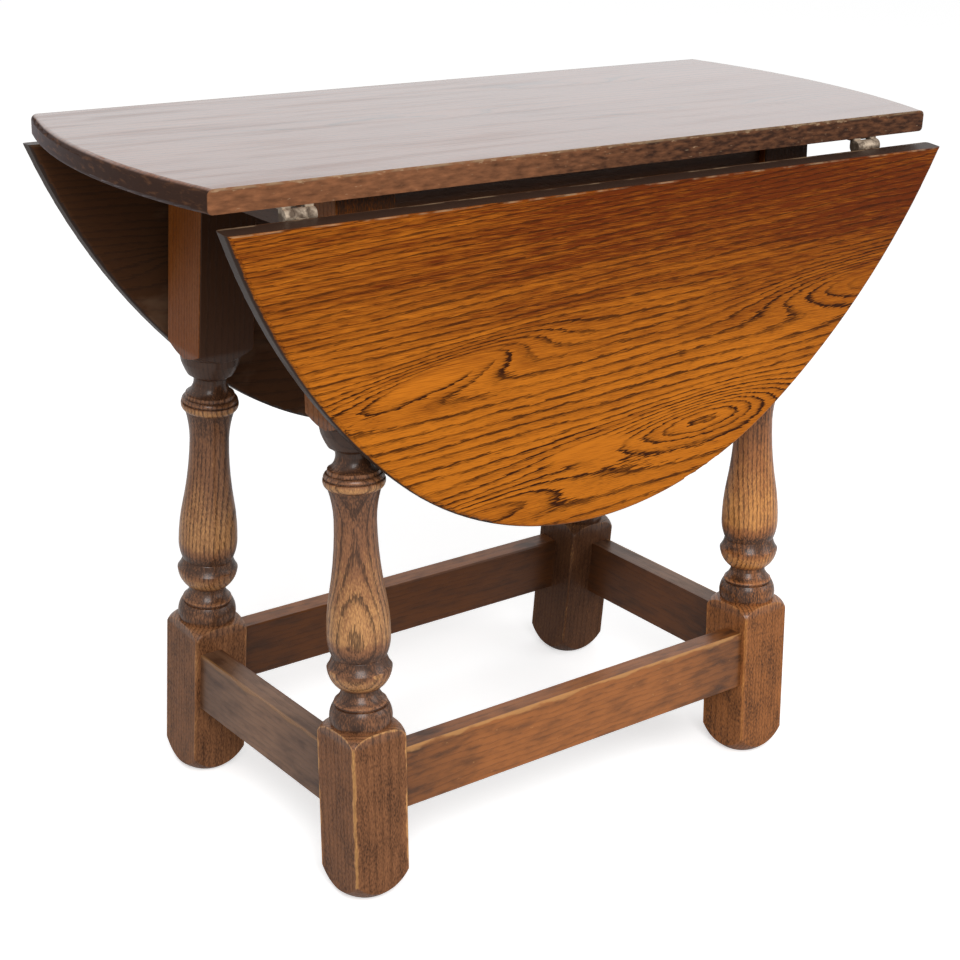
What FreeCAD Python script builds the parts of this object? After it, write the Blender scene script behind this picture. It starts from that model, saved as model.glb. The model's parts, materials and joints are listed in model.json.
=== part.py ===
import FreeCAD, Part
import os
import Sketcher

# Drop-leaf occasional table: a bowed top that turns on a frame of splayed, turned legs.
# X runs along the table, Y across it and Z up; the origin is on the floor under the middle of the top.

# Driving dimensions: millimetres, degrees where the name ends in angle, ratios where it ends in share
SIZES = {
    # top board and leaves, which make one oval when both leaves are raised
    "table_height": 516.0,
    "oval_length": 634.0,
    "oval_width": 752.0,
    "top_width": 259.0,
    "top_thickness": 15.4,
    "edge_round": 4.0,
    "edge_ease": 3.0,
    "edge_limit_share": 0.6,
    "leaf_gap": 1.6,
    "nose_radius_share": 0.402,
    "nose_half_angle": 40.0,
    # how the top stands on the frame, and how the leaves hang against the legs
    "top_turn_angle": -3.0,
    "frame_offset": 2.0,
    "slide_gap": 0.3,
    "leaf_rest_gap": 1.0,
    # legs
    "leg_square": 45.2,
    "leg_end_inset": 129.4,
    "foot_inset": 16.85,
    "splay_angle": 3.6,
    "leg_arris": 1.0,
    "turning_bottom": 124.0,
    "turning_length": 228.8,
    "foot_round_height": 17.0,
    # rails and stretchers; stretchers near the floor
    "arris": 1.2,
    "stretcher_bottom": 62.2,
    "stretcher_height": 46.0,
    "stretcher_thickness": 18.0,
    "stretcher_setback": 4.2,
    # aprons under the long sides of the top, rails under its ends
    "apron_depth": 90.0,
    "apron_thickness": 20.0,
    "apron_setback": 6.0,
    "end_rail_depth": 36.0,
    "end_rail_thickness": 20.0,
    "end_rail_setback": 5.7,
    # mortise and tenon joints
    "tenon_thickness": 8.0,
    "tenon_length": 20.0,
    "tenon_shoulder": 7.0,
    "tenon_clearance": 0.15,
    "tenon_end_gap": 1.0,
    # cross rail and pivot of the top
    "pivot_rail_width": 70.0,
    "pivot_rail_thickness": 20.0,
    "pivot_tenon_length": 8.0,
    "pivot_shoulder": 5.0,
    "cleat_length": 150.0,
    "cleat_width": 60.0,
    "cleat_thickness": 18.0,
    "bolt_diameter": 8.0,
    "bolt_head_diameter": 20.0,
    "bolt_head_height": 4.5,
    "bolt_neck_height": 4.0,
    "bolt_neck_width": 8.6,
    "bolt_end": 4.0,
    "bolt_clearance": 0.05,
    "bolt_hole_clearance": 0.25,
    "washer_diameter": 24.0,
    "washer_thickness": 1.6,
    "washer_clearance": 0.4,
    "nut_width": 13.0,
    "nut_height": 7.0,
    "nut_gap": 0.2,
    # hinges under the joint between top and leaf
    "hinge_inset": 59.6,
    "hinge_width": 22.0,
    "hinge_flap": 28.0,
    "hinge_drop": 5.8,
    "plate_thickness": 2.0,
    "plate_gap": 0.3,
    "knuckle_radius": 4.6,
    "middle_knuckle": 9.4,
    "knuckle_clearance": 0.2,
    "notch_clearance": 0.5,
    "hinge_pin_radius": 1.9,
    "pin_seat_clearance": 0.02,
    "pin_running_clearance": 0.06,
    # wood screws
    "hinge_screw_diameter": 3.0,
    "hinge_screw_head": 6.0,
    "hinge_screw_length": 11.0,
    "cleat_screw_diameter": 4.0,
    "cleat_screw_head": 8.0,
    "cleat_screw_length": 27.0,
    "cleat_screw_inset": 14.0,
    "screw_clearance": 0.05,
    "screw_head_clearance": 0.15,
    "slot_width": 0.8,
    "slot_depth": 0.7,
    # how far every cut runs past the wood
    "overrun": 5.0,
}

# Places and sizes worked out from the driving dimensions
FIT = {
    "underside": "dims.table_height - dims.top_thickness",
    "frame_top": "underside - dims.slide_gap",
    "leg_length": "frame_top / cos(dims.splay_angle)",
    "lean": "tan(dims.splay_angle)",
    "leg_x": "dims.oval_length / 2 - dims.leg_end_inset",
    "foot_y": "dims.top_width / 2 - dims.foot_inset",
    "half_leg": "dims.leg_square / 2",
    "half_leg_level": "half_leg / cos(dims.splay_angle)",
    "shoulder_x": "leg_x - half_leg",
    "mortise_depth": "dims.tenon_length + dims.tenon_end_gap",
    "mortise_thickness": "dims.tenon_thickness + 2 * dims.tenon_clearance",
    # stretchers
    "stretcher_top": "dims.stretcher_bottom + dims.stretcher_height",
    "stretcher_middle": "dims.stretcher_bottom + dims.stretcher_height / 2",
    "stretcher_tenon": "dims.stretcher_height - 2 * dims.tenon_shoulder",
    "stretcher_line": "half_leg - dims.stretcher_setback - dims.stretcher_thickness / 2",
    # aprons, measured along the leaning leg
    "apron_bottom": "leg_length - dims.apron_depth",
    "apron_line": "half_leg - dims.apron_setback - dims.apron_thickness / 2",
    "apron_inner": "(half_leg - dims.apron_setback - dims.apron_thickness) / cos(dims.splay_angle)",
    "apron_tenon": "dims.apron_depth - 2 * dims.tenon_shoulder",
    "apron_middle": "leg_length - dims.apron_depth / 2",
    # end rails
    "end_rail_bottom": "frame_top - dims.end_rail_depth",
    "end_rail_middle": "frame_top - dims.end_rail_depth / 2",
    "end_rail_tenon": "dims.end_rail_depth - 2 * dims.tenon_shoulder",
    "end_rail_line": "half_leg - dims.end_rail_setback - dims.end_rail_thickness / 2",
    # pivot, from the top downwards
    "cleat_bottom": "underside - dims.cleat_thickness",
    "pivot_top": "cleat_bottom - dims.slide_gap",
    "pivot_bottom": "pivot_top - dims.pivot_rail_thickness",
    "pivot_middle": "pivot_top - dims.pivot_rail_thickness / 2",
    "pivot_tenon_height": "dims.pivot_rail_thickness - 2 * dims.pivot_shoulder",
    "pivot_tenon_width": "dims.pivot_rail_width - 2 * dims.pivot_shoulder",
    "nut_top": "pivot_bottom - dims.washer_thickness - dims.nut_gap",
    "nut_bottom": "nut_top - dims.nut_height",
    "bolt_bottom": "nut_bottom - dims.bolt_end",
    "bolt_radius": "dims.bolt_diameter / 2",
    "head_radius": "dims.bolt_head_diameter / 2",
    "dome_radius": "(head_radius^2 + dims.bolt_head_height^2) / (2 * dims.bolt_head_height)",
    "dome_middle": "underside - dome_radius + sqrt(dome_radius^2 - head_radius^2 / 4)",
    # outline of the top and the leaves
    "panel_corner": "dims.oval_length / 2 * sqrt(1 - (dims.top_width / dims.oval_width)^2)",
    "hinge_place": "panel_corner - dims.hinge_inset",
    "leaf_edge": "dims.top_width / 2 + dims.leaf_gap",
    "leaf_corner": "dims.oval_length / 2 * sqrt(1 - (2 * leaf_edge / dims.oval_width)^2)",
    "nose_radius": "dims.nose_radius_share * dims.oval_length",
    "nose_centre": "dims.oval_width / 2 - nose_radius",
    "edge_rise": "leaf_edge - nose_centre",
    "flank_reach": "leaf_corner * sin(dims.nose_half_angle) + edge_rise * cos(dims.nose_half_angle)",
    "flank_extra": "(leaf_corner^2 + edge_rise^2 - nose_radius^2) / (2 * (nose_radius - flank_reach))",
    "flank_radius": "nose_radius + flank_extra",
    "flank_x": "-flank_extra * sin(dims.nose_half_angle)",
    "flank_y": "nose_centre - flank_extra * cos(dims.nose_half_angle)",
    "flank_angle": "(dims.nose_half_angle + atan2(leaf_corner - flank_x; leaf_edge - flank_y) / 1 deg) / 2",
    "edge_round": "min(dims.edge_round; dims.top_thickness * dims.edge_limit_share)",
    # hinge axis, and the angle at which a leaf comes to hang against the upper end of the turning
    "axis_y": "dims.top_width / 2 + dims.leaf_gap / 2",
    "axis_z": "underside - dims.hinge_drop",
    "stop_x": "leg_x + half_leg + dims.frame_offset",
    "stop_z": "(dims.turning_bottom + dims.turning_length) * cos(dims.splay_angle)",
    "stop_y": "foot_y + half_leg_level - stop_z * lean",
    "stop_out": "stop_y * cos(dims.top_turn_angle) - stop_x * sin(dims.top_turn_angle) - axis_y",
    "stop_down": "axis_z - stop_z",
    "stop_reach": "sqrt(stop_out^2 + stop_down^2)",
    "stop_share": "(dims.hinge_drop - dims.leaf_rest_gap) / stop_reach",
    "leaf_lean_angle": "(atan2(stop_down; stop_out) - acos(stop_share)) / 1 deg",
    "hinge_screw_radius": "dims.hinge_screw_diameter / 2",
    "hinge_hole_radius": "hinge_screw_radius + dims.screw_clearance",
    "cleat_screw_radius": "dims.cleat_screw_diameter / 2",
    "cleat_hole_radius": "cleat_screw_radius + dims.screw_clearance",
}

# Turning of the leg from the lower block upwards: height as a share of the turned length and
# radius as a share of half the leg's square, then the same for a point of the arc to the next corner
TURNING_SHARES = [
    # rolled shoulder of the lower block
    (-0.0254, 1.488),
    (-0.0254, 1.398, 0.0074, 1.261),
    # base torus, groove, fillet, bell and neck
    (0.021, 0.93, 0.0498, 0.975),
    (0.086, 0.865),
    (0.0878, 0.8),
    (0.0918, 0.795),
    (0.0936, 0.83),
    (0.0982, 0.812, 0.1128, 0.675),
    (0.1276, 0.6),
    (0.1399, 0.596),
    # bead under the vase, and its hollow shoulder
    (0.1416, 0.64, 0.1722, 0.905),
    (0.2085, 1.006),
    (0.2128, 0.975, 0.2281, 0.893),
    (0.2421, 0.85),
    # vase and its slim neck
    (0.2439, 0.836, 0.2701, 0.93),
    (0.3097, 0.978, 0.3759, 0.948),
    (0.4419, 0.857, 0.5564, 0.697),
    (0.6713, 0.643, 0.7225, 0.69),
    # upper bead with a groove round it, fillet, bell and neck
    (0.7692, 0.8),
    (0.7723, 0.838, 0.7835, 0.92),
    (0.7985, 0.932),
    (0.8, 0.875),
    (0.8035, 0.875),
    (0.805, 0.915, 0.811, 0.895),
    (0.8164, 0.85),
    (0.8182, 0.805),
    (0.8291, 0.788),
    (0.8313, 0.745, 0.8462, 0.605),
    (0.8698, 0.532),
    (0.8846, 0.542),
    # ring and ovolo under the upper block
    (0.8872, 0.6),
    (0.896, 0.7),
    (0.8977, 0.748, 0.9161, 0.85),
    (0.9388, 0.945),
    (0.9628, 0.995),
    (1.0, 1.488),
]

# Rounded foot: height as a share of its rounded part, radius as a share of half the leg's square
FOOT_SHARES = [
    (1.315, 1.488, 0.376, 1.061),
    (-0.1, 0.555),
    (-1.0, 0.555),
    (-1.0, 1.488),
]

# Screws of a hinge plate: place along the hinge and out from its axis, as shares of plate width and length
PLATE_SCREW_SHARES = [(-0.31, 0.74), (0.31, 0.74), (0.0, 0.44)]

FRONT, BACK = -1, 1
LEFT, RIGHT = -1, 1
SIDE_NAMES = {FRONT: "front", BACK: "back"}
END_NAMES = {LEFT: "left", RIGHT: "right"}

doc = FreeCAD.newDocument("drop_leaf_table")
parts = []


# Sheets


def fill_sheet(name, cells):
    """Makes a sheet of two columns: names, and cells that carry the names as aliases."""
    sheet = doc.addObject("Spreadsheet::Sheet", name)
    for row, (alias, content) in enumerate(cells.items(), 1):
        sheet.set(f"A{row}", alias)
        sheet.setAlias(f"B{row}", alias)
        sheet.set(f"B{row}", content)
    doc.recompute()
    return sheet


fill_sheet("dims", {alias: str(number) for alias, number in SIZES.items()})
fit = fill_sheet("fit", {alias: "=" + formula for alias, formula in FIT.items()})


def value(expression):
    """Number that an expression of the two sheets gives."""
    result = fit.evalExpression(expression)
    return float(getattr(result, "Value", result))


# Sketches


def shift(x="0", y="0", z="0", angle="0", axis="0; 0; 1"):
    """Placement expression: a move and a turn about an axis."""
    return f"placement(vector({x}; {y}; {z}); rotation(vector({axis}); {angle}))"


def new_body(label):
    """Body that becomes one piece of the table."""
    body = doc.addObject("PartDesign::Body", label)
    body.Label = label
    parts.append(body)
    return body


def sketch_on(body, role, offset=None):
    """Sketch on one of the body's own origin planes, moved or turned in it by an offset."""
    sketch = body.newObject("Sketcher::SketchObject", body.Name + "_sketch")
    plane = next(item for item in body.Origin.OriginFeatures if item.Role == role)
    sketch.AttachmentSupport = (plane, [""])
    sketch.MapMode = "FlatFace"
    if offset:
        sketch.setExpression("AttachmentOffset", offset)
    return sketch


def bind(sketch, constraint, expression):
    """Adds a constraint whose size follows an expression."""
    number = sketch.addConstraint(constraint)
    sketch.setExpression(f"Constraints[{number}]", expression)


def bind_point(sketch, geometry, end, x, y):
    """Holds one point of a sketch at a place given by two expressions."""
    bind(sketch, Sketcher.Constraint("DistanceX", -1, 1, geometry, end, value(x)), x)
    bind(sketch, Sketcher.Constraint("DistanceY", -1, 1, geometry, end, value(y)), y)


def outline(sketch, corners):
    """Draws a closed outline. A corner is x, y or, where an arc leads to the next one, x, y, via x, via y."""
    first = len(sketch.Geometry)
    count = len(corners)
    spots = [FreeCAD.Vector(value(corner[0]), value(corner[1]), 0) for corner in corners]
    starts = []
    for index, corner in enumerate(corners):
        begin, end = spots[index], spots[(index + 1) % count]
        starts.append(1)
        if len(corner) == 2:
            sketch.addGeometry(Part.LineSegment(begin, end), False)
            continue
        via = FreeCAD.Vector(value(corner[2]), value(corner[3]), 0)
        # a sketch holds every arc anticlockwise, so one that runs the other way is drawn from its far end
        if (via - begin).cross(end - via).z < 0:
            begin, end = end, begin
            starts[index] = 2
        sketch.addGeometry(Part.Arc(begin, via, end), False)
    for index, corner in enumerate(corners):
        after = (index + 1) % count
        here = first + index
        join = Sketcher.Constraint("Coincident", here, 3 - starts[index], first + after, starts[after])
        sketch.addConstraint(join)
        bind_point(sketch, here, starts[index], corner[0], corner[1])
        if len(corner) == 4:
            via = FreeCAD.Vector(value(corner[2]), value(corner[3]), 0)
            spot = sketch.addGeometry(Part.Point(via), True)
            bind_point(sketch, spot, 1, corner[2], corner[3])
            sketch.addConstraint(Sketcher.Constraint("PointOnObject", spot, 1, here))


def rectangle(left, bottom, right, top):
    """Corners of a rectangle."""
    return [(left, bottom), (right, bottom), (right, top), (left, top)]


def eased_rectangle(left, bottom, right, top, ease="dims.arris"):
    """Corners of a rectangle with its arrises planed off."""
    return [
        (f"{left} + {ease}", bottom),
        (f"{right} - {ease}", bottom),
        (right, f"{bottom} + {ease}"),
        (right, f"{top} - {ease}"),
        (f"{right} - {ease}", top),
        (f"{left} + {ease}", top),
        (left, f"{top} - {ease}"),
        (left, f"{bottom} + {ease}"),
    ]


def circle(sketch, x, y, radius):
    """Draws a circle about a place."""
    middle = FreeCAD.Vector(value(x), value(y), 0)
    ring = sketch.addGeometry(Part.Circle(middle, FreeCAD.Vector(0, 0, 1), value(radius)), False)
    bind_point(sketch, ring, 3, x, y)
    bind(sketch, Sketcher.Constraint("Radius", ring, value(radius)), radius)


# Features


def volume_of(body):
    """Volume that a body has so far."""
    return 0.0 if body.Shape.isNull() else body.Shape.Volume


def settle(body, feature, before, grows):
    """Recomputes, and stops where a feature changed nothing or went the wrong way."""
    doc.recompute()
    change = volume_of(body) - before
    if (change > 0) != grows or change == 0:
        raise RuntimeError(f"{feature.Label} changes {body.Label} by {change:.3f}")


def extrude(body, kind, sketch, length, side="Symmetric", reverse=False):
    """Pad or Pocket of a sketch."""
    before = volume_of(body)
    feature = body.newObject("PartDesign::" + kind, f"{body.Name}_{kind}")
    feature.Profile = sketch
    feature.SideType = side
    feature.Reversed = reverse
    feature.setExpression("Length", length)
    settle(body, feature, before, kind == "Pad")
    return feature


def turn_off(body, sketch):
    """Cuts a sketch all round the body's upright axis, as on a lathe."""
    before = volume_of(body)
    feature = body.newObject("PartDesign::Groove", body.Name + "_Groove")
    feature.Profile = sketch
    feature.ReferenceAxis = (sketch, ["V_Axis"])
    settle(body, feature, before, False)


def turn_up(body, sketch):
    """Solid of revolution about the body's upright axis."""
    feature = body.newObject("PartDesign::Revolution", body.Name + "_Revolution")
    feature.Profile = sketch
    feature.ReferenceAxis = (sketch, ["V_Axis"])
    settle(body, feature, 0.0, True)


def round_edges(body, chosen, radius):
    """Fillet on the edges that a test picks."""
    base = body.Tip
    before = volume_of(body)
    names = [f"Edge{number}" for number, edge in enumerate(base.Shape.Edges, 1) if chosen(edge)]
    feature = body.newObject("PartDesign::Fillet", body.Name + "_Fillet")
    feature.Base = (base, names)
    feature.setExpression("Radius", radius)
    settle(body, feature, before, False)


def is_bowed(edge, height):
    """True for a bowed edge of a board that lies at one height."""
    box = edge.BoundBox
    level = abs(box.ZMin - height) + abs(box.ZMax - height) < Part.Precision.confusion()
    return level and isinstance(edge.Curve, Part.Circle)


# Legs


def shares_to_outline(shares, radius, base, height):
    """Outline of a turning in sizes of its own: radius across, height up."""
    corners = []
    for row in shares:
        spots = []
        for up, out in zip(row[0::2], row[1::2]):
            spots += [f"{out} * {radius}", f"{base} + {up} * {height}"]
        corners.append(tuple(spots))
    return corners


def end_face(depth, side_y):
    """Place, level with the floor, of a point in the leg from the face that the rail across meets."""
    return f"{-side_y} * (fit.half_leg_level + fit.lean * ({depth[0]}) + ({depth[1]}))"


def make_leg(side_x, side_y):
    """Square blank, turned between its blocks and at the foot, sawn level, mortised on two faces."""
    body = new_body(f"leg_{SIDE_NAMES[side_y]}_{END_NAMES[side_x]}")
    blank = sketch_on(body, "XY_Plane", shift(z="-dims.overrun"))
    half = "fit.half_leg"
    outline(blank, eased_rectangle(f"-{half}", f"-{half}", half, half, "dims.leg_arris"))
    extrude(body, "Pad", blank, "fit.leg_length + 2 * dims.overrun", "One side")
    turning = sketch_on(body, "XZ_Plane")
    turned = shares_to_outline(TURNING_SHARES, half, "dims.turning_bottom", "dims.turning_length")
    outline(turning, turned)
    turn_off(body, turning)
    foot = sketch_on(body, "XZ_Plane")
    outline(foot, shares_to_outline(FOOT_SHARES, half, "0", "dims.foot_round_height"))
    turn_off(body, foot)
    # floor and frame top are level though the leg leans
    level_angle = f"{-side_y} * dims.splay_angle"
    ends = sketch_on(body, "YZ_Plane", shift(angle=level_angle))
    reach = "(dims.leg_square + fit.lean * fit.frame_top)"
    outline(ends, rectangle(f"-{reach}", f"-{reach}", reach, "0"))
    outline(ends, rectangle(f"-{reach}", "fit.frame_top", reach, f"fit.frame_top + {reach}"))
    extrude(body, "Pocket", ends, "2 * dims.leg_square")
    # mortises for the apron and the long stretcher, square to the leg
    along = sketch_on(body, "YZ_Plane", shift(z=f"{-side_x} * fit.half_leg"))
    for line, middle, tenon in (
        ("fit.apron_line", "fit.apron_middle", "fit.apron_tenon"),
        ("fit.stretcher_line", "fit.stretcher_middle", "fit.stretcher_tenon"),
    ):
        half_width = "fit.mortise_thickness / 2"
        half_height = f"({tenon} / 2 + dims.tenon_clearance)"
        outline(along, rectangle(
            f"{side_y} * {line} - {half_width}", f"{middle} - {half_height}",
            f"{side_y} * {line} + {half_width}", f"{middle} + {half_height}"))
    extrude(body, "Pocket", along, "2 * fit.mortise_depth")
    # mortises for the end rail and the end stretcher, level
    for line, middle, tenon in (
        ("fit.end_rail_line", "fit.end_rail_middle", "fit.end_rail_tenon"),
        ("fit.stretcher_line", "fit.stretcher_middle", "fit.stretcher_tenon"),
    ):
        across = sketch_on(body, "YZ_Plane", shift(z=f"{side_x} * {line}", angle=level_angle))
        half_height = f"({tenon} / 2 + dims.tenon_clearance)"
        outline(across, rectangle(
            end_face((middle, "-fit.mortise_depth"), side_y), f"{middle} - {half_height}",
            end_face((middle, "dims.overrun"), side_y), f"{middle} + {half_height}"))
        extrude(body, "Pocket", across, "fit.mortise_thickness")
    lean_angle = f"{side_y} * dims.splay_angle"
    foot_x = f"{side_x} * fit.leg_x + dims.frame_offset"
    place = shift(foot_x, f"{side_y} * fit.foot_y", angle=lean_angle, axis="1; 0; 0")
    body.setExpression("Placement", place)


# Rails and stretchers


def lean_with_legs(body, side_y):
    """Sets a long rail in the plane of its two leaning legs."""
    lean_angle = f"{side_y} * dims.splay_angle"
    place = shift("dims.frame_offset", f"{side_y} * fit.foot_y", angle=lean_angle, axis="1; 0; 0")
    body.setExpression("Placement", place)


def make_long_rail(body, side_y, line, thickness, bottom, top, middle, tenon):
    """Rail along X between two legs: eased section with a tenon at each end."""
    half = f"{thickness} / 2"
    section = sketch_on(body, "YZ_Plane")
    centre = f"{side_y} * {line}"
    outline(section, eased_rectangle(f"{centre} - {half}", bottom, f"{centre} + {half}", top))
    extrude(body, "Pad", section, "2 * fit.shoulder_x")
    tongue = sketch_on(body, "YZ_Plane")
    half = "dims.tenon_thickness / 2"
    outline(tongue, rectangle(
        f"{centre} - {half}", f"{middle} - {tenon} / 2", f"{centre} + {half}", f"{middle} + {tenon} / 2"))
    extrude(body, "Pad", tongue, "2 * (fit.shoulder_x + dims.tenon_length)")
    lean_with_legs(body, side_y)


def make_long_stretcher(side_y):
    """Low stretcher between two legs of one long side."""
    body = new_body(f"stretcher_{SIDE_NAMES[side_y]}")
    make_long_rail(body, side_y, "fit.stretcher_line", "dims.stretcher_thickness", "dims.stretcher_bottom",
                   "fit.stretcher_top", "fit.stretcher_middle", "fit.stretcher_tenon")


def make_apron(side_y):
    """Apron under one long side of the top, planed level above and mortised for the pivot rail."""
    body = new_body(f"apron_{SIDE_NAMES[side_y]}")
    make_long_rail(body, side_y, "fit.apron_line", "dims.apron_thickness",
                   "fit.apron_bottom", "fit.leg_length + dims.overrun", "fit.apron_middle", "fit.apron_tenon")
    level_angle = f"{-side_y} * dims.splay_angle"
    plane_off = sketch_on(body, "YZ_Plane", shift(angle=level_angle))
    reach = "(dims.leg_square + fit.lean * fit.frame_top)"
    outline(plane_off, rectangle(f"-{reach}", "fit.frame_top", reach, f"fit.frame_top + {reach}"))
    extrude(body, "Pocket", plane_off, "2 * fit.leg_x")
    # the pivot rail stays under the middle of the top
    housing = sketch_on(body, "YZ_Plane", shift(z="-dims.frame_offset", angle=level_angle))
    inner = "fit.apron_inner - fit.lean * fit.pivot_middle"
    half_height = "(fit.pivot_tenon_height / 2 + dims.tenon_clearance)"
    end = f"{inner} + dims.pivot_tenon_length + dims.tenon_clearance"
    outline(housing, rectangle(
        f"{side_y} * ({inner} - dims.overrun)", f"fit.pivot_middle - {half_height}",
        f"{side_y} * ({end})", f"fit.pivot_middle + {half_height}"))
    extrude(body, "Pocket", housing, "fit.pivot_tenon_width + 2 * dims.tenon_clearance")


def cross_outline(base, bottom, top):
    """Side view of a rail across the table, its shoulders leaning with the faces that they meet."""
    low = f"({base} - fit.lean * {bottom})"
    high = f"({base} - fit.lean * {top})"
    return [(f"-{low}", bottom), (low, bottom), (high, top), (f"-{high}", top)]


def make_cross_rail(body, side_x, line, thickness, bottom, top, middle, tenon):
    """Rail across the table between a front and a back leg, with level tenons."""
    base = "(fit.foot_y - fit.half_leg_level)"
    place = f"{side_x} * (fit.leg_x + {line}) + dims.frame_offset"
    sides = sketch_on(body, "YZ_Plane", shift(z=place))
    outline(sides, cross_outline(base, bottom, top))
    extrude(body, "Pad", sides, thickness)
    tongue = sketch_on(body, "YZ_Plane", shift(z=place))
    reach = f"({base} - fit.lean * {middle} + dims.tenon_length)"
    outline(tongue, rectangle(f"-{reach}", f"{middle} - {tenon} / 2", reach, f"{middle} + {tenon} / 2"))
    extrude(body, "Pad", tongue, "dims.tenon_thickness")


def make_end_stretcher(side_x):
    """Low stretcher under one end of the table."""
    body = new_body(f"stretcher_{END_NAMES[side_x]}")
    make_cross_rail(body, side_x, "fit.stretcher_line", "dims.stretcher_thickness", "dims.stretcher_bottom",
                    "fit.stretcher_top", "fit.stretcher_middle", "fit.stretcher_tenon")


def make_end_rail(side_x):
    """Shallow top rail under one end of the table."""
    body = new_body(f"end_rail_{END_NAMES[side_x]}")
    make_cross_rail(body, side_x, "fit.end_rail_line", "dims.end_rail_thickness",
                    "fit.end_rail_bottom", "fit.frame_top", "fit.end_rail_middle", "fit.end_rail_tenon")


def make_pivot_rail():
    """Flat cross rail let into both aprons, bored for the pivot bolt."""
    body = new_body("pivot_rail")
    base = "(fit.foot_y + fit.apron_inner)"
    sides = sketch_on(body, "YZ_Plane")
    outline(sides, cross_outline(base, "fit.pivot_bottom", "fit.pivot_top"))
    extrude(body, "Pad", sides, "dims.pivot_rail_width")
    tongue = sketch_on(body, "YZ_Plane")
    reach = f"({base} - fit.lean * fit.pivot_middle + dims.pivot_tenon_length)"
    half = "fit.pivot_tenon_height / 2"
    outline(tongue, rectangle(f"-{reach}", f"fit.pivot_middle - {half}", reach, f"fit.pivot_middle + {half}"))
    extrude(body, "Pad", tongue, "fit.pivot_tenon_width")
    bore = sketch_on(body, "XY_Plane", shift(z="fit.pivot_middle"))
    circle(bore, "0", "0", "fit.bolt_radius + dims.bolt_clearance")
    extrude(body, "Pocket", bore, "2 * dims.pivot_rail_thickness")


# Top, leaves and their hinges


def top_frame(side_y):
    """Frame of the turned top, with +Y towards the given long side."""
    half_turn = {FRONT: "180 + ", BACK: ""}[side_y]
    return shift(angle=half_turn + "dims.top_turn_angle")


def axis_frame(side_y, x="0"):
    """Frame at the hinge axis of one long side, level with the top."""
    return f"{top_frame(side_y)} * {shift(x, 'fit.axis_y', 'fit.axis_z')}"


def leaf_frame(side_y, x="0"):
    """Frame of a leaf that hangs: level when the leaf is raised."""
    hang = shift(x, "fit.axis_y", "fit.axis_z", "-90 - fit.leaf_lean_angle", "1; 0; 0")
    return f"{top_frame(side_y)} * {hang}"


def hinge_x(side_y, side_x):
    """Place of a hinge along the frame of its own long side."""
    return f"{side_x * side_y} * fit.hinge_place"


def plate_screws(side, x="0"):
    """Screw places of one hinge plate about its axis; side is the way that the plate points."""
    return [
        (f"{x} + {along} * dims.hinge_width", f"{side} * {out} * dims.hinge_flap")
        for along, out in PLATE_SCREW_SHARES
    ]


def leaf_screws():
    """Screw places of both hinges of a leaf, in the leaf's frame."""
    places = []
    for side_x in (LEFT, RIGHT):
        places += plate_screws(1, f"{side_x} * fit.hinge_place")
    return places


def top_screws():
    """Screw places of all four hinges under the top, in the top's frame."""
    places = []
    for side_y in (FRONT, BACK):
        for side_x in (LEFT, RIGHT):
            for x, y in plate_screws(-1, f"{side_x} * fit.hinge_place"):
                places.append((x, f"{side_y} * (fit.axis_y + {y})"))
    return places


def cleat_screws():
    """Screw places of the pivot cleat."""
    across = "(dims.cleat_width / 2 - dims.cleat_screw_inset)"
    along = "(dims.cleat_length / 2 - dims.cleat_screw_inset)"
    places = []
    for side_x in (LEFT, RIGHT):
        for side_y in (FRONT, BACK):
            places.append((f"{side_x} * {along}", f"{side_y} * {across}"))
    return places


def bore_screws(body, places, height, radius, depth):
    """Blind pilot holes upwards from an underside."""
    holes = sketch_on(body, "XY_Plane", shift(z=height))
    for x, y in places:
        circle(holes, x, y, radius)
    extrude(body, "Pocket", holes, depth, "One side", True)


def make_top_panel():
    """Middle board: straight long edges, bowed ends with a rounded upper and an eased lower arris."""
    body = new_body("top_panel")
    board = sketch_on(body, "XY_Plane", shift(z="fit.underside"))
    half = "dims.top_width / 2"
    end = "dims.oval_length / 2"
    outline(board, [
        ("-fit.panel_corner", f"-{half}"),
        ("fit.panel_corner", f"-{half}", end, "0"),
        ("fit.panel_corner", half),
        ("-fit.panel_corner", half, f"-{end}", "0"),
    ])
    extrude(body, "Pad", board, "dims.top_thickness", "One side")
    upper, lower = value("dims.table_height"), value("fit.underside")
    round_edges(body, lambda edge: is_bowed(edge, upper), "fit.edge_round")
    round_edges(body, lambda edge: is_bowed(edge, lower), "dims.edge_ease")
    hinge_depth = "dims.hinge_screw_length - dims.plate_thickness + dims.screw_clearance"
    bore_screws(body, top_screws(), "fit.underside", "fit.hinge_hole_radius", hinge_depth)
    cleat_depth = "dims.cleat_screw_length - dims.cleat_thickness + dims.screw_clearance"
    bore_screws(body, cleat_screws(), "fit.underside", "fit.cleat_hole_radius", cleat_depth)
    body.setExpression("Placement", top_frame(BACK))


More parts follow.
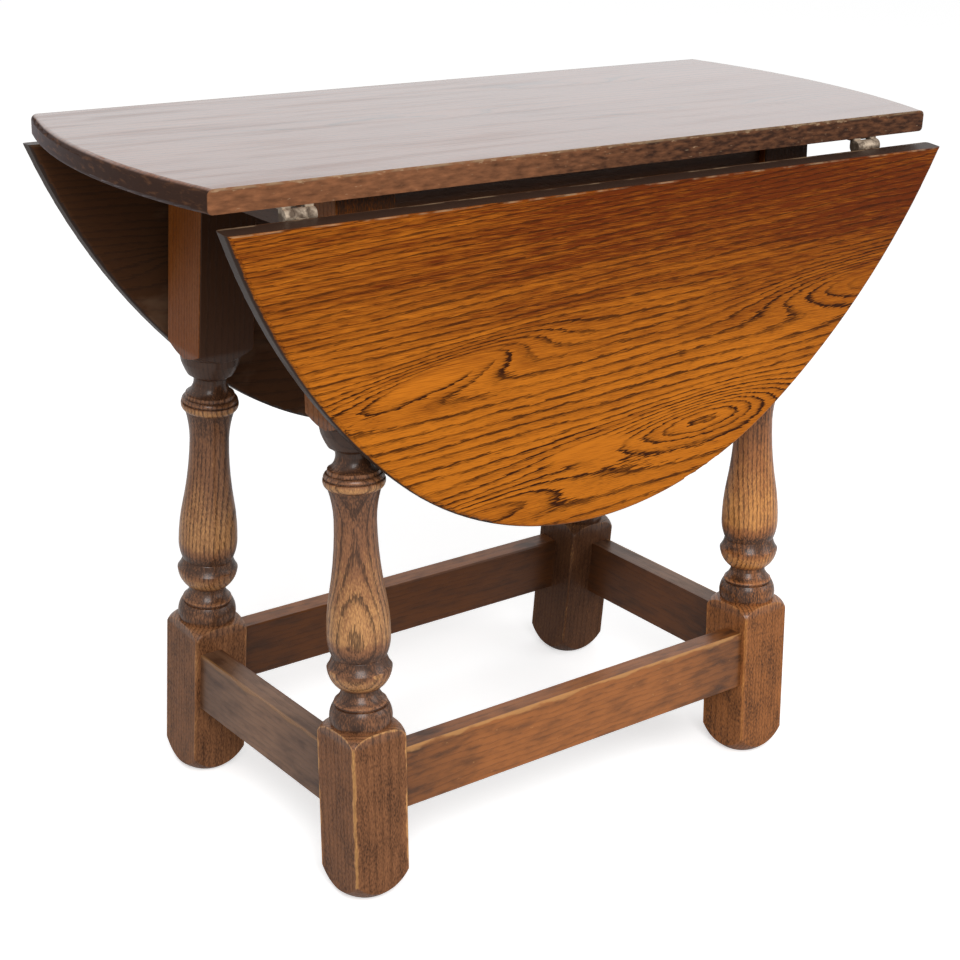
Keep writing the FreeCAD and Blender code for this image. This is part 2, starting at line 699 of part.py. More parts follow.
def make_leaf(side_y):
    """Half-oval leaf of three tangent arcs, drawn level about its hinge axis and hung by placement."""
    body = new_body(f"leaf_{SIDE_NAMES[side_y]}")
    board = sketch_on(body, "XY_Plane", shift(z="dims.hinge_drop"))
    edge = "fit.leaf_edge - fit.axis_y"
    nose_x = "fit.nose_radius * sin(dims.nose_half_angle)"
    nose_y = "fit.nose_centre + fit.nose_radius * cos(dims.nose_half_angle) - fit.axis_y"
    flank_x = "(fit.flank_x + fit.flank_radius * sin(fit.flank_angle))"
    flank_y = "fit.flank_y + fit.flank_radius * cos(fit.flank_angle) - fit.axis_y"
    tip = "dims.oval_width / 2 - fit.axis_y"
    outline(board, [
        ("-fit.leaf_corner", edge),
        ("fit.leaf_corner", edge, flank_x, flank_y),
        (nose_x, nose_y, "0", tip),
        (f"-{nose_x}", nose_y, f"-{flank_x}", flank_y),
    ])
    extrude(body, "Pad", board, "dims.top_thickness", "One side")
    lower = value("dims.hinge_drop")
    upper = lower + value("dims.top_thickness")
    round_edges(body, lambda line: is_bowed(line, upper), "fit.edge_round")
    round_edges(body, lambda line: is_bowed(line, lower), "dims.edge_ease")
    depth = "dims.hinge_screw_length - dims.plate_thickness + dims.screw_clearance"
    bore_screws(body, leaf_screws(), "dims.hinge_drop", "fit.hinge_hole_radius", depth)
    body.setExpression("Placement", leaf_frame(side_y))


def make_hinge_plate(label, side, bore_clearance, gaps):
    """Plate with a knuckle along its edge, notched for the other plate and countersunk from below."""
    body = new_body(label)
    profile = sketch_on(body, "YZ_Plane")
    knuckle = "dims.knuckle_radius"
    rise = "sqrt(dims.knuckle_radius^2 - dims.plate_gap^2)"
    low = "dims.hinge_drop - dims.plate_thickness"
    outline(profile, [
        (f"{side} * dims.hinge_flap", "dims.hinge_drop"),
        (f"{side} * dims.plate_gap", "dims.hinge_drop"),
        (f"{side} * dims.plate_gap", rise, f"{-side} * {knuckle} * cos(45)", f"-{knuckle} * sin(45)"),
        (f"{side} * {knuckle}", "0"),
        (f"{side} * {knuckle}", low),
        (f"{side} * dims.hinge_flap", low),
    ])
    circle(profile, "0", "0", f"dims.hinge_pin_radius + {bore_clearance}")
    extrude(body, "Pad", profile, "dims.hinge_width")
    notches = sketch_on(body, "XY_Plane")
    notch = "(dims.knuckle_radius + dims.notch_clearance)"
    for start, end in gaps:
        outline(notches, rectangle(start, f"-{notch}", end, notch))
    extrude(body, "Pocket", notches, "4 * dims.hinge_drop")
    shank = sketch_on(body, "XY_Plane", shift(z=low))
    sink = sketch_on(body, "XY_Plane", shift(z=low))
    for x, y in plate_screws(side):
        circle(shank, x, y, "fit.hinge_hole_radius")
        circle(sink, x, y, "dims.hinge_screw_head / 2 + dims.screw_head_clearance")
    extrude(body, "Pocket", shank, "4 * dims.hinge_drop")
    depth = "dims.hinge_screw_head / 2 - fit.hinge_screw_radius"
    cone = extrude(body, "Pocket", sink, depth, "One side", True)
    cone.TaperAngle = -45
    doc.recompute()
    return body


def make_hinge(side_y, side_x):
    """Flap hinge: the top plate has the two outer knuckles, the leaf plate the middle one."""
    name = f"{SIDE_NAMES[side_y]}_{END_NAMES[side_x]}_hinge"
    x = hinge_x(side_y, side_x)
    half_middle = "dims.middle_knuckle / 2"
    half_width = "dims.hinge_width / 2"
    gap = "dims.knuckle_clearance / 2"
    middle = [(f"-{half_middle} - {gap}", f"{half_middle} + {gap}")]
    outer = [
        (f"-{half_width} - dims.overrun", f"-{half_middle} + {gap}"),
        (f"{half_middle} - {gap}", f"{half_width} + dims.overrun"),
    ]
    top_plate = make_hinge_plate(name + "_top_plate", -1, "dims.pin_seat_clearance", middle)
    top_plate.setExpression("Placement", axis_frame(side_y, x))
    leaf_plate = make_hinge_plate(name + "_leaf_plate", 1, "dims.pin_running_clearance", outer)
    leaf_plate.setExpression("Placement", leaf_frame(side_y, x))
    pin = new_body(name + "_pin")
    ring = sketch_on(pin, "YZ_Plane")
    circle(ring, "0", "0", "dims.hinge_pin_radius")
    extrude(pin, "Pad", ring, "dims.hinge_width")
    pin.setExpression("Placement", axis_frame(side_y, x))


def make_screws(label, places, height, radius, head, length, frame):
    """Group of slotted countersunk screws that point upwards, heads flush with a lower face."""
    body = new_body(label)
    body.AllowCompound = True
    shanks = sketch_on(body, "XY_Plane", shift(z=height))
    heads = sketch_on(body, "XY_Plane", shift(z=height))
    slots = sketch_on(body, "XY_Plane", shift(z=height))
    for x, y in places:
        circle(shanks, x, y, radius)
        circle(heads, x, y, f"{head} / 2")
        outline(slots, rectangle(
            f"{x} - {head}", f"{y} - dims.slot_width / 2", f"{x} + {head}", f"{y} + dims.slot_width / 2"))
    extrude(body, "Pad", shanks, length, "One side")
    cone = extrude(body, "Pad", heads, f"{head} / 2 - {radius}", "One side")
    cone.TaperAngle = -45
    doc.recompute()
    extrude(body, "Pocket", slots, "2 * dims.slot_depth")
    body.setExpression("Placement", frame)


# Pivot


def make_pivot_cleat():
    """Block under the top, recessed for the head and square neck of the pivot bolt."""
    body = new_body("pivot_cleat")
    block = sketch_on(body, "XY_Plane", shift(z="fit.cleat_bottom"))
    half_length, half_width = "dims.cleat_length / 2", "dims.cleat_width / 2"
    outline(block, eased_rectangle(f"-{half_length}", f"-{half_width}", half_length, half_width))
    extrude(body, "Pad", block, "dims.cleat_thickness", "One side")
    recess = sketch_on(body, "XY_Plane", shift(z="fit.underside"))
    circle(recess, "0", "0", "fit.head_radius + dims.bolt_hole_clearance")
    extrude(body, "Pocket", recess, "2 * (dims.bolt_head_height + dims.bolt_hole_clearance)")
    neck = sketch_on(body, "XY_Plane", shift(z="fit.underside"))
    half = "(dims.bolt_neck_width / 2 + dims.bolt_hole_clearance)"
    outline(neck, rectangle(f"-{half}", f"-{half}", half, half))
    extrude(body, "Pocket", neck, "4 * dims.cleat_thickness")
    shank = sketch_on(body, "XY_Plane", shift(z="fit.cleat_bottom"))
    sink = sketch_on(body, "XY_Plane", shift(z="fit.cleat_bottom"))
    for x, y in cleat_screws():
        circle(shank, x, y, "fit.cleat_hole_radius")
        circle(sink, x, y, "dims.cleat_screw_head / 2 + dims.screw_head_clearance")
    extrude(body, "Pocket", shank, "4 * dims.cleat_thickness")
    depth = "dims.cleat_screw_head / 2 - fit.cleat_screw_radius"
    cone = extrude(body, "Pocket", sink, depth, "One side", True)
    cone.TaperAngle = -45
    doc.recompute()
    body.setExpression("Placement", top_frame(BACK))


def make_pivot_bolt():
    """Coach bolt: domed head under the top, square neck in the cleat, shank through the pivot rail."""
    body = new_body("pivot_bolt")
    seat = "fit.underside - dims.bolt_head_height"
    profile = sketch_on(body, "XZ_Plane")
    outline(profile, [
        ("0", "fit.bolt_bottom"),
        ("fit.bolt_radius", "fit.bolt_bottom"),
        ("fit.bolt_radius", seat),
        ("fit.head_radius", seat, "fit.head_radius / 2", "fit.dome_middle"),
        ("0", "fit.underside"),
    ])
    turn_up(body, profile)
    neck = sketch_on(body, "XY_Plane", shift(z=seat))
    edge = "dims.bolt_neck_width / 2"
    outline(neck, rectangle(f"-{edge}", f"-{edge}", edge, edge))
    extrude(body, "Pad", neck, "dims.bolt_neck_height", "One side", True)
    body.setExpression("Placement", top_frame(BACK))


def make_pivot_washer():
    """Flat washer under the pivot rail."""
    body = new_body("pivot_washer")
    ring = sketch_on(body, "XY_Plane", shift(z="fit.pivot_bottom"))
    circle(ring, "0", "0", "dims.washer_diameter / 2")
    circle(ring, "0", "0", "fit.bolt_radius + dims.washer_clearance")
    extrude(body, "Pad", ring, "dims.washer_thickness", "One side", True)


def make_pivot_nut():
    """Hexagon nut that keeps the top on its pivot."""
    body = new_body("pivot_nut")
    hexagon = sketch_on(body, "XY_Plane", shift(z="fit.nut_bottom"))
    corner = "dims.nut_width / sqrt(3)"
    outline(hexagon, [(f"{corner} * cos({side} * 60)", f"{corner} * sin({side} * 60)") for side in range(6)])
    circle(hexagon, "0", "0", "fit.bolt_radius + dims.bolt_clearance")
    extrude(body, "Pad", hexagon, "dims.nut_height", "One side")
    body.setExpression("Placement", top_frame(BACK))


# The table


def build():
    """Makes every piece in place."""
    for side_y in (FRONT, BACK):
        for side_x in (LEFT, RIGHT):
            make_leg(side_x, side_y)
        make_apron(side_y)
        make_long_stretcher(side_y)
    for side_x in (LEFT, RIGHT):
        make_end_rail(side_x)
        make_end_stretcher(side_x)
    make_pivot_rail()
    make_top_panel()
    make_pivot_cleat()
    make_pivot_bolt()
    make_pivot_washer()
    make_pivot_nut()
    for side_y in (FRONT, BACK):
        make_leaf(side_y)
        for side_x in (LEFT, RIGHT):
            make_hinge(side_y, side_x)
    plate_face = "fit.underside - dims.plate_thickness"
    hinge_screw = ("fit.hinge_screw_radius", "dims.hinge_screw_head", "dims.hinge_screw_length")
    make_screws("hinge_screws_top", top_screws(), plate_face, *hinge_screw, top_frame(BACK))
    leaf_face = "dims.hinge_drop - dims.plate_thickness"
    for side_y in (FRONT, BACK):
        name = f"hinge_screws_leaf_{SIDE_NAMES[side_y]}"
        make_screws(name, leaf_screws(), leaf_face, *hinge_screw, leaf_frame(side_y))
    cleat_screw = ("fit.cleat_screw_radius", "dims.cleat_screw_head", "dims.cleat_screw_length")
    make_screws("cleat_screws", cleat_screws(), "fit.cleat_bottom", *cleat_screw, top_frame(BACK))
    doc.recompute()


def check():
    """Stops if any object failed or any piece has no sound shape."""
    for item in doc.Objects:
        if "Invalid" in item.State or "Error" in item.State:
            raise RuntimeError(f"{item.Label} failed: {item.State}")
    for piece in parts:
        if piece.Shape.isNull() or not piece.Shape.isValid():
            raise RuntimeError(f"{piece.Label} has no valid shape")


def write():
    """Writes each piece to its own file."""
    os.makedirs("parts", exist_ok=True)
    for piece in parts:
        piece.Shape.exportStep(os.path.join("parts", piece.Label + ".step"))


build()
check()
write()
lean = value("fit.leaf_lean_angle")
print(f"{len(parts)} pieces; leaves lean {lean:.3f} degrees; hinge axis at y {value('fit.axis_y'):.3f}, "
      f"z {value('fit.axis_z'):.3f}")
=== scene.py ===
import json
import math

import bpy
from mathutils import Matrix, Vector

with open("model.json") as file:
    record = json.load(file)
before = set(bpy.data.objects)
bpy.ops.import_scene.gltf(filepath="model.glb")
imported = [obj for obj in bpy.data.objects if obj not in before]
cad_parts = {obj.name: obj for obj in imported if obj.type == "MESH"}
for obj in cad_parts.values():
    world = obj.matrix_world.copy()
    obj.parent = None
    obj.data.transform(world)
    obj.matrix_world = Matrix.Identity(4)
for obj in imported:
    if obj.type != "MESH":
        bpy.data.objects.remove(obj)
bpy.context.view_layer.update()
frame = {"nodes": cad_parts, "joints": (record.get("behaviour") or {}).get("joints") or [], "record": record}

# Lengths are in metres. Limits are where a smooth step starts and where it is full. A pitch is the size
# of a wave of noise along the grain, across it and into the wood.

X_AXIS = Vector((1.0, 0.0, 0.0))
Y_AXIS = Vector((0.0, 1.0, 0.0))
Z_AXIS = Vector((0.0, 0.0, 1.0))
SIDES = {"front": -1.0, "back": 1.0}
ENDS = {"left": -1.0, "right": 1.0}

# Lean of the legs and of the long rails between them
SPLAY = math.radians(3.6)

# Oak colours
AMBER = (0.56, 0.166, 0.011)
AMBER_DEEP = (0.13, 0.022, 0.002)
AMBER_LINE = (0.035, 0.008, 0.001)
RIM = (0.034, 0.018, 0.012)
INSIDE = (0.078, 0.032, 0.014)
SMUDGE = (0.21, 0.120, 0.072)
TOP_BROWN = (0.27, 0.105, 0.050)
TOP_DEEP = (0.14, 0.048, 0.022)
TOP_LINE = (0.060, 0.024, 0.012)
EDGE_BROWN = (0.30, 0.118, 0.050)
EDGE_DARK = (0.035, 0.013, 0.006)
END_DARK = (0.032, 0.013, 0.007)
END_BROWN = (0.13, 0.055, 0.024)
CHIP = (0.50, 0.34, 0.20)
UPPER_BROWN = (0.21, 0.054, 0.005)
FRAME_DARK = (0.060, 0.025, 0.012)
FRAME_GOLD = (0.58, 0.285, 0.095)
FRAME_LINE = (0.028, 0.011, 0.005)
RAIL_RUSSET = (0.36, 0.122, 0.030)
RAIL_DULL = (0.23, 0.115, 0.060)
RAIL_INNER = (0.15, 0.048, 0.012)
RAIL_DARK = (0.085, 0.034, 0.015)


# Pieces and their own axes


class Piece:
    """A CAD node with axes of its own: along the grain, across it and out of its show face."""

    def __init__(self, node, grain, face):
        self.node = node
        along = grain.normalized()
        across = face.cross(grain).normalized()
        self.axes = (along, across, along.cross(across))
        spots = [vertex.co for vertex in frame["nodes"][node].data.vertices]
        reaches = [[spot.dot(axis) for spot in spots] for axis in self.axes]
        lows = [min(reach) for reach in reaches]
        self.high = [max(reach) for reach in reaches]
        self.middle = [(low + high) / 2 for low, high in zip(lows, self.high)]
        self.size = [high - low for low, high in zip(lows, self.high)]


def dress(node, material):
    """Gives a node its material."""
    slots = frame["nodes"][node].data.materials
    for index in range(len(slots)):
        slots[index] = material


def joint_named(name):
    """One joint of the table, as the frame lists it."""
    return next(joint for joint in frame["joints"] if joint["name"] == name)


def leaf_piece(side):
    """Hanging leaf: along its hinge, up its face, and out of its show face."""
    joint = joint_named(f"leaf_{side}_hinge")
    axis = Vector(joint["axis"]).normalized()
    lowered = Matrix.Rotation(-math.radians(joint["range_deg"][1]), 3, axis)
    return Piece(f"leaf_{side}", -axis, lowered @ Z_AXIS)


def splayed_axes(way):
    """Axes of a leg or rail that leans in towards the top: up it, and out of its show face."""
    up = Vector((0.0, -way * math.sin(SPLAY), math.cos(SPLAY)))
    face = Vector((0.0, way * math.cos(SPLAY), math.sin(SPLAY)))
    return up, face


# Shader nodes

# Level that noise waves about
NOISE_MIDDLE = 0.5


class Shader:
    """Builds the nodes of one material, with short calls for what is used most."""

    def __init__(self, name, piece=None):
        self.material = bpy.data.materials.new(name)
        self.material.use_nodes = True
        self.tree = self.material.node_tree
        self.bsdf = self.tree.nodes["Principled BSDF"]
        self.piece = piece

    def add(self, kind, **settings):
        """Adds a node of a kind, with its settings."""
        node = self.tree.nodes.new("ShaderNode" + kind)
        for key, setting in settings.items():
            setattr(node, key, setting)
        return node

    def feed(self, socket, source):
        """Links a socket, or sets a plain value or an opaque colour on it."""
        if isinstance(source, bpy.types.NodeSocket):
            self.tree.links.new(source, socket)
        elif socket.type == "RGBA":
            socket.default_value = (*source, 1.0)
        else:
            socket.default_value = source

    def surface(self, **inputs):
        """Sets or links inputs of the shader; a name has underscores for its spaces."""
        for name, source in inputs.items():
            self.feed(self.bsdf.inputs[name.replace("_", " ")], source)

    def math(self, operation, first, second=0.0, third=0.0, clamp=False):
        """Result of an operation on up to three values."""
        node = self.add("Math", operation=operation, use_clamp=clamp)
        for socket, source in zip(node.inputs, (first, second, third)):
            self.feed(socket, source)
        return node.outputs[0]

    def total(self, *values):
        """Sum of several values."""
        result = values[0]
        for value in values[1:]:
            result = self.math("ADD", result, value)
        return result

    def times(self, *values):
        """Product of several values."""
        result = values[0]
        for value in values[1:]:
            result = self.math("MULTIPLY", result, value)
        return result

    def scaled(self, value, factor, start, clamp=False):
        """A value times a factor, on top of a start."""
        return self.math("MULTIPLY_ADD", value, factor, start, clamp)

    def weighted(self, weights, **values):
        """Sum of named values, each times the weight of that name."""
        return self.total(*[self.times(value, weights[name]) for name, value in values.items()])

    def squares(self, *values):
        """Sum of the squares of several values."""
        return self.total(*[self.math("POWER", value, 2.0) for value in values])

    def inverse(self, value):
        """One less a value."""
        return self.math("SUBTRACT", 1.0, value)

    def negative(self, value):
        """A value with its sign changed."""
        return self.math("MULTIPLY", value, -1.0)

    def vector(self, operation, first, second):
        """Result of an operation on two vectors."""
        node = self.add("VectorMath", operation=operation)
        self.feed(node.inputs[0], first)
        self.feed(node.inputs[1], second)
        return node.outputs["Value" if operation == "DOT_PRODUCT" else "Vector"]

    def join(self, x, y, z):
        """Vector of three values."""
        node = self.add("CombineXYZ")
        for socket, source in zip(node.inputs, (x, y, z)):
            self.feed(socket, source)
        return node.outputs[0]

    def coordinates(self, origin):
        """Place of a surface point in the piece's own axes, measured from an origin given in them."""
        point = self.add("TexCoord").outputs["Object"]
        places = []
        for axis, start in zip(self.piece.axes, origin):
            places.append(self.math("SUBTRACT", self.vector("DOT_PRODUCT", point, tuple(axis)), start))
        return places

    def noise(self, vector, pitch, detail=2.0):
        """Noise about zero."""
        node = self.add("TexNoise", noise_dimensions="3D")
        self.feed(node.inputs["Vector"], self.vector("DIVIDE", vector, pitch))
        node.inputs["Scale"].default_value = 1.0
        node.inputs["Detail"].default_value = detail
        return self.math("SUBTRACT", node.outputs[0], NOISE_MIDDLE)

    def step(self, value, limits):
        """Smooth step from 0 at the first limit to 1 at the second, which may be the lower one."""
        node = self.add("MapRange", interpolation_type="SMOOTHSTEP")
        for name, source in zip(("Value", "From Min", "From Max"), (value, *limits)):
            self.feed(node.inputs[name], source)
        return node.outputs[0]

    def mix(self, factor, first, second):
        """Colour between two others."""
        node = self.add("Mix", data_type="RGBA")
        for index, source in ((0, factor), (6, first), (7, second)):
            self.feed(node.inputs[index], source)
        return node.outputs[2]

    def curve(self, value, stops):
        """Value that runs through stops of place and level."""
        node = self.add("ValToRGB")
        elements = node.color_ramp.elements
        while len(elements) < len(stops):
            elements.new(1.0)
        for element, (place, level) in zip(elements, stops):
            element.position = place
            element.color = (level, level, level, 1.0)
        self.feed(node.inputs[0], value)
        return node.outputs[0]

    def hump(self, u, v, middle, reach, slope):
        """Smooth hump of height 1 about a place, drawn out along a slope."""
        along = self.math("SUBTRACT", u, middle[0])
        across = self.scaled(along, slope, self.math("SUBTRACT", v, middle[1]))
        shares = [self.math("DIVIDE", way, span) for way, span in zip((along, across), reach)]
        return self.math("EXPONENT", self.negative(self.squares(*shares)))

    def relief(self, height, distance):
        """Bump from a height of 0 to 1 that spans a distance."""
        node = self.add("Bump")
        node.inputs["Distance"].default_value = distance
        self.feed(node.inputs["Height"], height)
        self.feed(self.bsdf.inputs["Normal"], node.outputs[0])


# Oak

# Darkness across one growth ring: open early wood first, sharp on one side and fading on the other
RING = [(0.0, 1.0), (0.10, 0.92), (0.27, 0.22), (0.5, 0.05), (0.94, 0.0), (1.0, 0.9)]
# Strokes that feather the rings: slant, width as a share of their length, and height in rings
STROKE_SLANT = 0.09
STROKE_WIDTH_SHARE = 0.08
STROKE_HEIGHT = 0.8
# Strength of the lines: uneven from ring to ring, with a pitch in metres along and rings across, and
# broken along each by gaps, whose length is a share of a stroke's
LINE_STRENGTH = 0.95
UNEVEN_PITCH = (0.10, 1.3, 1.0)
UNEVEN_STRENGTH = 2.4
GAP_LENGTH_SHARE = 1.6
GAP_WIDTH = 0.0007
GAP_STRENGTH = 1.8
# Pores: length as a share of a stroke's, width, and how dark they are in late wood and beyond that in
# early wood
PORE_LENGTH_SHARE = 0.55
PORE_WIDTH = 0.0005
PORE_LIMITS = (0.05, 0.2)
LATE_PORES = 0.25
EARLY_PORES = 0.35
EARLY_LIMITS = (0.75, 0.15)


def wander(shader, point, field, waves):
    """Bends the growth rings by noise: pitch along and across the grain, and height in rings."""
    for long, wide, height in waves:
        field = shader.scaled(shader.noise(point, (long, wide, wide)), height, field)
    return field


def oak_grain(shader, places, field, stroke):
    """Growth rings of oak, dark where the early wood is open: feathered strokes, uneven lines and pores."""
    along, across, depth = places
    slant = shader.join(along, shader.scaled(along, STROKE_SLANT, across), depth)
    stroke_width = stroke * STROKE_WIDTH_SHARE
    feather = shader.noise(slant, (stroke, stroke_width, stroke_width))
    rings = shader.math("FRACT", shader.scaled(feather, STROKE_HEIGHT, field))
    uneven = shader.noise(shader.join(along, field, 0.0), UNEVEN_PITCH)
    gaps = shader.noise(slant, (stroke * GAP_LENGTH_SHARE, GAP_WIDTH, GAP_WIDTH))
    strength = shader.scaled(gaps, GAP_STRENGTH, shader.scaled(uneven, UNEVEN_STRENGTH, LINE_STRENGTH))
    lines = shader.times(shader.curve(rings, RING), strength)
    pore_pitch = (stroke * PORE_LENGTH_SHARE, PORE_WIDTH, PORE_WIDTH)
    pores = shader.step(shader.noise(shader.join(*places), pore_pitch, detail=1.0), PORE_LIMITS)
    darkness = shader.scaled(shader.step(rings, EARLY_LIMITS), EARLY_PORES, LATE_PORES)
    return shader.scaled(pores, darkness, lines, clamp=True)


# Boards

# Growth rings of a board: how many to a metre, how many more by the edge and how far in, their waves, the
# length of a stroke, and the strength of the lines
BOARD_RINGS = 112.0
EDGE_RINGS = 13.0
EDGE_RINGS_FADE = 0.065
BOARD_WAVES = [(0.20, 0.045, 1.6), (0.07, 0.012, 0.5)]
BOARD_STROKE = 0.014
BOARD_LINES = 0.9
# Parts of an eye's height where its wood is plain and where its lines are bolder, and how much bolder
EYE_PLAIN_LIMITS = (0.6, 0.85)
EYE_BOLD_LIMITS = (0.05, 0.3)
EYE_BOLD_LINES = 0.3
# Eyes in the grain: place along and down the board, reach each way, slope, height in rings, and how plain
# the wood is in the eye
LEAF_EYES = {
    "front": [
        ((-0.137, 0.110), (0.078, 0.013), 0.19, 5.0, 1.0),
        ((0.262, 0.092), (0.112, 0.017), 0.05, 7.0, 0.7),
        ((0.098, 0.180), (0.072, 0.017), 0.08, 7.0, 0.0),
        ((-0.010, 0.188), (0.062, 0.014), 0.05, 1.8, 1.0),
        ((-0.095, 0.218), (0.080, 0.013), 0.10, 3.0, 0.3),
    ],
    "back": [
        ((0.120, 0.105), (0.080, 0.013), 0.15, 5.0, 1.0),
        ((-0.240, 0.085), (0.100, 0.016), 0.05, 6.6, 0.6),
        ((-0.060, 0.190), (0.080, 0.016), 0.08, 5.4, 0.1),
    ],
}
TOP_EYES = [
    ((-0.08, 0.13), (0.10, 0.015), 0.05, 4.0, 0.5),
    ((0.15, 0.075), (0.09, 0.014), 0.0, 3.4, 0.5),
    ((0.10, 0.20), (0.08, 0.016), 0.05, 3.2, 0.0),
]


def board_grain(shader, places, eyes, tilt):
    """Growth rings down a plain-sawn board, close by its edge and looped below, and their dark lines."""
    u, v, depth = places
    down = shader.scaled(u, tilt, v)
    away = shader.inverse(shader.math("EXPONENT", shader.math("DIVIDE", down, -EDGE_RINGS_FADE)))
    field = shader.scaled(away, EDGE_RINGS, shader.times(down, BOARD_RINGS))
    marked = 1.0
    bold = 0.0
    for middle, reach, slope, height, plain in eyes:
        hump = shader.hump(u, v, middle, reach, slope)
        field = shader.scaled(hump, height, field)
        core = shader.times(shader.step(hump, EYE_PLAIN_LIMITS), plain)
        marked = shader.times(shader.inverse(core), marked)
        bold = shader.math("MAXIMUM", shader.step(hump, EYE_BOLD_LIMITS), bold)
    field = wander(shader, shader.join(u, v, depth), field, BOARD_WAVES)
    lines = shader.times(oak_grain(shader, places, field, BOARD_STROKE), marked)
    return field, shader.times(lines, shader.scaled(bold, EYE_BOLD_LINES, BOARD_LINES))


# Leaves

# Grain of a leaf: its tilt, and the strength of its lines by the hinge and how much more they have below
LEAF_TILT = 0.059
LEAF_LINES = 0.85
LEAF_LINES_BELOW = 0.15
# Tone of a leaf: where it changes down from the hinge and out from the middle, partly painted shade under the
# top's overhang and partly a darker finish, its pitches, with that of the bands in rings across, and the
# weight of each
LEAF_BELOW_LIMITS = (0.0, 0.17)
LEAF_LEFT_LIMITS = (0.02, -0.25)
LEAF_RIGHT_LIMITS = (0.06, 0.26)
LEAF_PATCH_PITCH = (0.16, 0.03, 0.03)
LEAF_BAND_PITCH = (0.20, 2.0, 1.0)
LEAF_FIBRE_PITCH = (0.02, 0.0006, 0.0006)
LEAF_TONES = {"below": 0.85, "upper_left": 0.3, "right": -0.12, "patches": 0.5, "bands": 1.1, "fibre": 1.7}
LEAF_TONE_START = 0.05
# Depths where the rim starts under the show face and where it ends before the inner face
LEAF_RIM_LIMITS = (0.0008, 0.0018)
LEAF_INSIDE_LIMITS = (0.0012, 0.0004)
# Chips along the arrises of the hinged edge
LEAF_FRONT_ARRIS_LIMITS = (0.0011, 0.0006)
LEAF_BACK_ARRIS_LIMITS = (0.0026, 0.0012)
LEAF_CHIP_PITCH = (0.02, 0.01, 0.01)
LEAF_CHIP_LIMITS = (-0.06, 0.12)
LEAF_CHIP_STRENGTH = 0.45
# Old smudges and faint lines on the inner face
LEAF_SMUDGE_PITCH = (0.05, 0.025, 0.025)
LEAF_SMUDGE_LIMITS = (0.0, 0.22)
LEAF_SMUDGE_STRENGTH = 0.5
LEAF_INSIDE_LINES = 0.6
# Polish
LEAF_RIM_COAT = 0.12
LEAF_ROUGHNESS = 0.4
LEAF_INSIDE_ROUGHER = 0.25
LEAF_RELIEF = 0.00004


def leaf_face(shader, places, eyes):
    """Amber face and its dark lines: the amber deeper near the hinge, above all in the middle and to the
    right, partly painted shade under the top's overhang and partly a darker finish.
    """
    u, v, under = places
    point = shader.join(u, v, under)
    field, lines = board_grain(shader, places, eyes, LEAF_TILT)
    # the amber is deeper up by the hinge, in the middle and to the right: partly painted shade under the
    # top's overhang, partly a darker finish
    below = shader.step(v, LEAF_BELOW_LIMITS)
    lines = shader.times(lines, shader.scaled(below, LEAF_LINES_BELOW, LEAF_LINES))
    lines = shader.math("MINIMUM", lines, 1.0)
    left = shader.step(u, LEAF_LEFT_LIMITS)
    tone = shader.weighted(
        LEAF_TONES,
        below=below,
        upper_left=shader.times(left, shader.inverse(below)),
        right=shader.step(u, LEAF_RIGHT_LIMITS),
        patches=shader.noise(point, LEAF_PATCH_PITCH),
        bands=shader.noise(shader.join(u, field, 0.0), LEAF_BAND_PITCH),
        fibre=shader.noise(point, LEAF_FIBRE_PITCH))
    tone = shader.math("ADD", tone, LEAF_TONE_START, clamp=True)
    return shader.mix(lines, shader.mix(tone, AMBER_DEEP, AMBER), AMBER_LINE), lines


def leaf_oak(side):
    """Amber polished oak on the show face, dark polish round the rim, plain dark wood inside."""
    piece = leaf_piece(side)
    shader = Shader(f"leaf_oak_{side}", piece)
    u, up, out = shader.coordinates((piece.middle[0], piece.high[1], piece.high[2]))
    v = shader.negative(up)
    under = shader.negative(out)
    from_back = shader.math("SUBTRACT", piece.size[2], under)
    point = shader.join(u, v, under)
    face, lines = leaf_face(shader, (u, v, under), LEAF_EYES[side])
    rim = shader.step(under, LEAF_RIM_LIMITS)
    inside = shader.step(from_back, LEAF_INSIDE_LIMITS)
    # both arrises of the hinged edge are chipped to bare wood
    nicks = shader.step(shader.noise(point, LEAF_CHIP_PITCH, detail=5.0), LEAF_CHIP_LIMITS)
    front_arris = shader.step(shader.math("ADD", v, under), LEAF_FRONT_ARRIS_LIMITS)
    back_arris = shader.step(shader.math("ADD", v, from_back), LEAF_BACK_ARRIS_LIMITS)
    chipped = shader.times(nicks, shader.math("MAXIMUM", front_arris, back_arris), LEAF_CHIP_STRENGTH)
    smudges = shader.step(shader.noise(point, LEAF_SMUDGE_PITCH, detail=5.0), LEAF_SMUDGE_LIMITS)
    back = shader.mix(shader.times(lines, LEAF_INSIDE_LINES), INSIDE, RIM)
    back = shader.mix(shader.times(smudges, LEAF_SMUDGE_STRENGTH), back, SMUDGE)
    polished = shader.mix(chipped, shader.mix(rim, face, RIM), CHIP)
    colour = shader.mix(shader.times(inside, shader.inverse(chipped)), polished, back)
    shader.surface(
        Base_Color=colour,
        Roughness=shader.scaled(inside, LEAF_INSIDE_ROUGHER, LEAF_ROUGHNESS),
        Specular_IOR_Level=0.05,
        Coat_Weight=shader.times(rim, shader.inverse(inside), LEAF_RIM_COAT),
        Coat_Roughness=0.16)
    shader.relief(shader.inverse(lines), LEAF_RELIEF)
    dress(piece.node, shader.material)


# Top

# Grain of the top
TOP_TILT = 0.02
TOP_LINES = 0.8
TOP_PATCH_PITCH = (0.20, 0.04, 0.04)
# Depths where its faces end: in from a long edge or up from the underside, and under the upper face at
# its ends
TOP_SIDE_LIMITS = (0.0008, 0.0003)
TOP_END_LIMITS = (0.0002, 0.0016)
# Soil on its edges, and the long ones darker towards the right
SOIL_PITCH = (0.010, 0.01, 0.0030)
SOIL_STRENGTH = 1.5
SOIL_START = 0.4
EDGE_RIGHT_DARKER_LIMITS = (-0.16, 0.10)
EDGE_RIGHT_DARKER = 0.45
